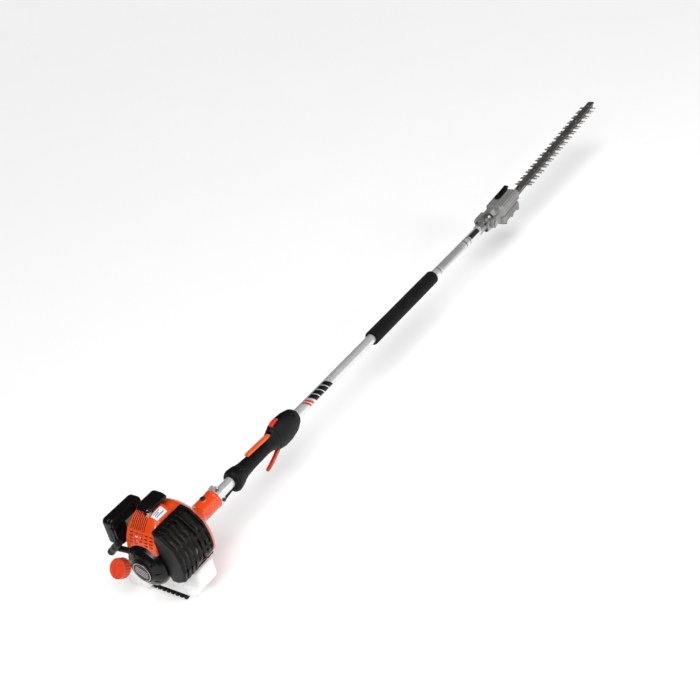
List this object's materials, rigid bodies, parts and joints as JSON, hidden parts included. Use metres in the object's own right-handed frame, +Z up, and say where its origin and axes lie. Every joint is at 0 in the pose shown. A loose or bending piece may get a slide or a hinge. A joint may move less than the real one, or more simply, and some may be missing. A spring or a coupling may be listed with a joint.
{
  "type": "pole hedge trimmer",
  "caption": "Petrol pole hedge trimmer: rear engine with tank stand, aluminium pole, control handle, foam grip and an articulating double-sided cutter.",
  "frame": {"origin": "on the ground face of the tank stand, below the cylinder side of the pole axis", "axes": "+X along the pole towards the blade, +Y to the operator's left, +Z up"},
  "size_m": [2.3689, 0.2144, 0.2415],
  "materials": {
    "orange_plastic": "moulded, satin gloss",
    "black_plastic": "fine moulded texture",
    "tank_plastic": "translucent natural",
    "tube_aluminium": "bright drawn",
    "cast_aluminium": "die cast, grey paint",
    "core_casting": "die cast, bare",
    "steel": "machined",
    "blade_steel": "blackened, ground edges",
    "fastener_steel": "black zinc",
    "grip_foam": "closed cell foam",
    "handle_rubber": "soft overmould",
    "lever_orange": "moulded",
    "switch_red": "moulded",
    "cable_sheath": "ribbed sheath",
    "filter_foam": "open cell foam",
    "muffler_steel": "heat resistant paint",
    "plug_ceramic": "glazed",
    "bushing_rubber": "moulded",
    "bulb_rubber": "clear amber"
  },
  "bodies": {
    "root": {"crankcase_front": "core_casting", "crankcase_rear": "core_casting", "cylinder": "core_casting", "crank_bearings": "steel", "cylinder_cover": "orange_plastic", "fan_housing": "orange_plastic", "starter_housing": "black_plastic", "muffler": "muffler_steel", "muffler_guard": "black_plastic", "carburetor": "core_casting", "air_filter_base": "black_plastic", "air_filter_element": "filter_foam", "air_filter_cover": "black_plastic", "spark_plug": "plug_ceramic", "plug_cover": "black_plastic", "ignition_coil": "black_plastic", "fuel_tank": "tank_plastic", "tank_stand": "black_plastic", "clamp_ring": "tube_aluminium", "clamp_screws": "fastener_steel", "outer_tube": "tube_aluminium", "shaft_bushings": "bushing_rubber", "handle_left": "handle_rubber", "handle_right": "handle_rubber", "handle_screws": "fastener_steel", "trigger_pin": "steel", "throttle_cable": "cable_sheath", "front_grip": "grip_foam", "pivot_housing": "cast_aluminium", "collar_bolts": "fastener_steel", "pivot_pin": "steel"},
    "crank": {"crankshaft": "steel", "flywheel": "core_casting", "clutch_shoes": "steel"},
    "piston_set": {"piston": "core_casting", "piston_pin": "steel", "connecting_rod": "steel"},
    "driveline": {"clutch_drum": "steel", "drive_shaft": "steel", "input_pinion": "steel"},
    "pivot_gear": {"pivot_gear": "steel"},
    "starter_pulley": {"starter_pulley": "black_plastic"},
    "starter_grip": {"starter_grip": "black_plastic"},
    "throttle_trigger": {"throttle_trigger": "lever_orange"},
    "throttle_lockout": {"throttle_lockout": "lever_orange"},
    "stop_switch": {"stop_switch": "switch_red"},
    "choke_lever": {"choke_lever": "black_plastic"},
    "primer_bulb": {"primer_bulb": "bulb_rubber"},
    "fuel_cap": {"fuel_cap": "orange_plastic"},
    "head": {"gear_case": "cast_aluminium", "gear_case_cover": "cast_aluminium", "case_screws": "fastener_steel", "adjusting_handle": "black_plastic", "guide_bar": "blade_steel", "bar_bolts": "fastener_steel"},
    "output_shaft": {"output_shaft": "steel"},
    "crank_gear": {"crank_gear": "steel"},
    "upper_blade": {"upper_blade": "blade_steel"},
    "lower_blade": {"lower_blade": "blade_steel"}
  },
  "joints": [
    {"name": "crank_spin", "type": "hinge", "parent": "root", "child": "crank", "pos_m": [-0.045, 0, 0.125], "axis": [1, 0, 0], "continuous": true},
    {"name": "piston_stroke", "type": "slide", "parent": "root", "child": "piston_set", "axis": [0, 0, 1], "range_m": [-0.028, 0], "deforming": ["connecting_rod"]},
    {"name": "drive_spin", "type": "hinge", "parent": "root", "child": "driveline", "pos_m": [0.7, 0, 0.125], "axis": [1, 0, 0], "continuous": true},
    {"name": "pivot_gear_spin", "type": "hinge", "parent": "root", "child": "pivot_gear", "pos_m": [1.409, -0.014, 0.125], "axis": [0, 1, 0], "continuous": true},
    {"name": "head_tilt", "type": "hinge", "parent": "root", "child": "head", "pos_m": [1.409, 0, 0.125], "axis": [0, 1, 0], "range_deg": [-45, 90]},
    {"name": "output_spin", "type": "hinge", "parent": "head", "child": "output_shaft", "pos_m": [1.45888, 0, 0.12849], "axis": [0.9976, 0, 0.0698], "continuous": true},
    {"name": "crank_gear_spin", "type": "hinge", "parent": "head", "child": "crank_gear", "pos_m": [1.51873, 0, 0.13267], "axis": [-0.0698, 0, 0.9976], "continuous": true},
    {"name": "upper_blade_stroke", "type": "slide", "parent": "head", "child": "upper_blade", "axis": [0.9976, 0, 0.0698], "range_m": [-0.0095, 0.0095]},
    {"name": "lower_blade_stroke", "type": "slide", "parent": "head", "child": "lower_blade", "axis": [0.9976, 0, 0.0698], "range_m": [-0.0095, 0.0095]},
    {"name": "starter_pull", "type": "slide", "parent": "root", "child": "starter_grip", "axis": [-0.5558, 0.5878, 0.5878], "range_m": [0, 0.6], "stiffness_N_per_m": 15, "springref_m": -0.08},
    {"name": "starter_pulley_spin", "type": "hinge", "parent": "root", "child": "starter_pulley", "pos_m": [-0.0925, 0, 0.125], "axis": [1, 0, 0], "range_deg": [-1, 1500]},
    {"name": "trigger_squeeze", "type": "hinge", "parent": "root", "child": "throttle_trigger", "pos_m": [0.352, 0, 0.1], "axis": [0, 1, 0], "range_deg": [0, 18], "stiffness_Nm_per_rad": 0.25, "springref_deg": -28.65},
    {"name": "lockout_press", "type": "hinge", "parent": "root", "child": "throttle_lockout", "pos_m": [0.318, 0, 0.1425], "axis": [0, 1, 0], "range_deg": [-3, 0], "stiffness_Nm_per_rad": 0.6, "springref_deg": 5.73},
    {"name": "stop_switch_slide", "type": "slide", "parent": "root", "child": "stop_switch", "axis": [1, 0, 0], "range_m": [0, 0.008]},
    {"name": "choke_turn", "type": "hinge", "parent": "root", "child": "choke_lever", "pos_m": [-0.07, 0.057, 0.204], "axis": [0, 1, 0], "range_deg": [-60, 0]},
    {"name": "primer_press", "type": "slide", "parent": "root", "child": "primer_bulb", "axis": [0, 0, 1], "range_m": [0, 0.004], "stiffness_N_per_m": 300, "springref_m": -0.001},
    {"name": "fuel_cap_turn", "type": "hinge", "parent": "root", "child": "fuel_cap", "pos_m": [-0.086, 0.1, 0.078], "axis": [-0.8, 0, 0.6], "continuous": true}
  ],
  "couplings": [
    {"joint": "pivot_gear_spin", "follows": "drive_spin", "ratio": -1},
    {"joint": "output_spin", "follows": "drive_spin", "ratio": -1},
    {"joint": "crank_gear_spin", "follows": "drive_spin", "ratio": -0.5},
    {"joint": "lower_blade_stroke", "follows": "upper_blade_stroke", "ratio": -1},
    {"joint": "starter_pulley_spin", "follows": "starter_pull", "rad_per_m": 40}
  ]
}
